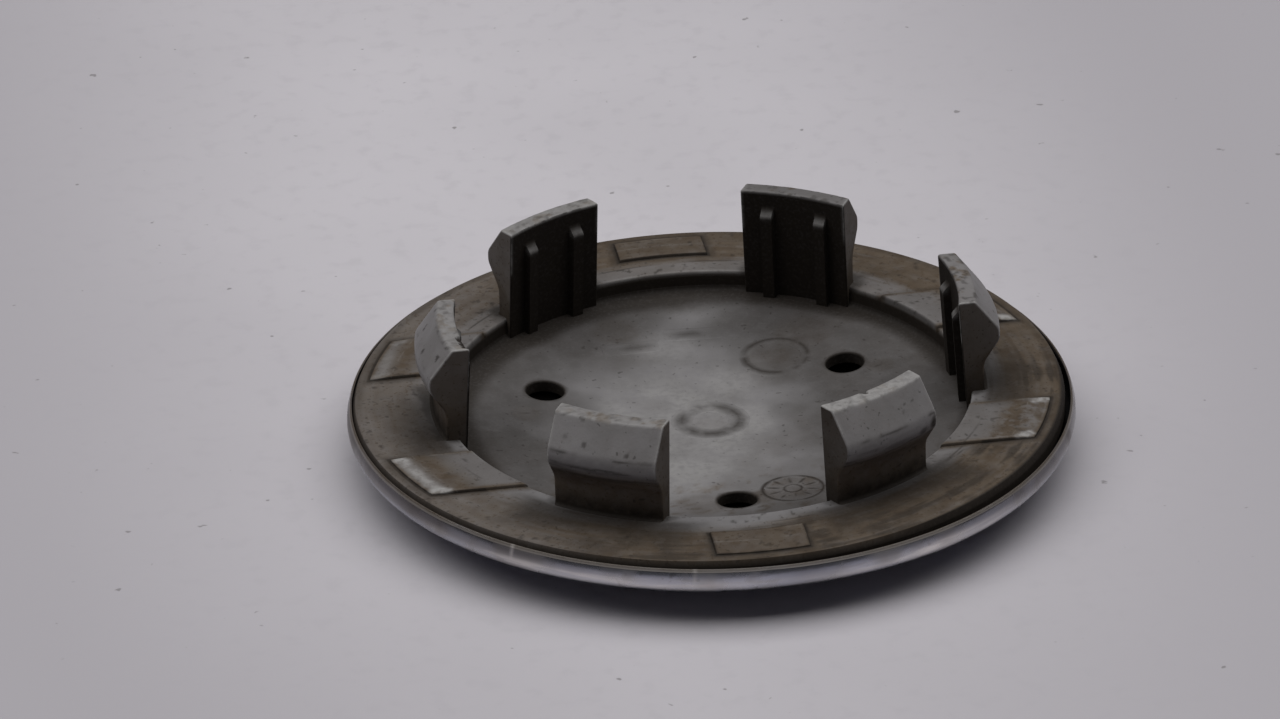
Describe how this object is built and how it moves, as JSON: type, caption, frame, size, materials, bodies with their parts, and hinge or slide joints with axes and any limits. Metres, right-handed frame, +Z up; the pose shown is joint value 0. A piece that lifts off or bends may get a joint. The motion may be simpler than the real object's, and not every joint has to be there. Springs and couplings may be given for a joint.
{
  "type": "wheel centre cap",
  "caption": "Round push-in wheel centre cap lying face down: a plated domed face holding a grey moulded body with a flange, a sunken floor and a ring of barbed snap clips.",
  "frame": {"origin": "lowest point of the domed front face, on the face's axis, which is the bottom centre of the box", "axes": "+Z up from the front face towards the tips of the clips, +X from the axis towards the middle of the first clip, +Y midway between two clips"},
  "size_m": [0.062, 0.062, 0.0143],
  "materials": {
    "grey_plastic": "aged grey moulded plastic, dirt-stained on the flange and scuffed on the clip edges",
    "plated_face": "bright plating, tarnished and scratched round the rim"
  },
  "bodies": {
    "root": {"clip_body": "grey_plastic", "front_face": "plated_face"}
  },
  "joints": []
}
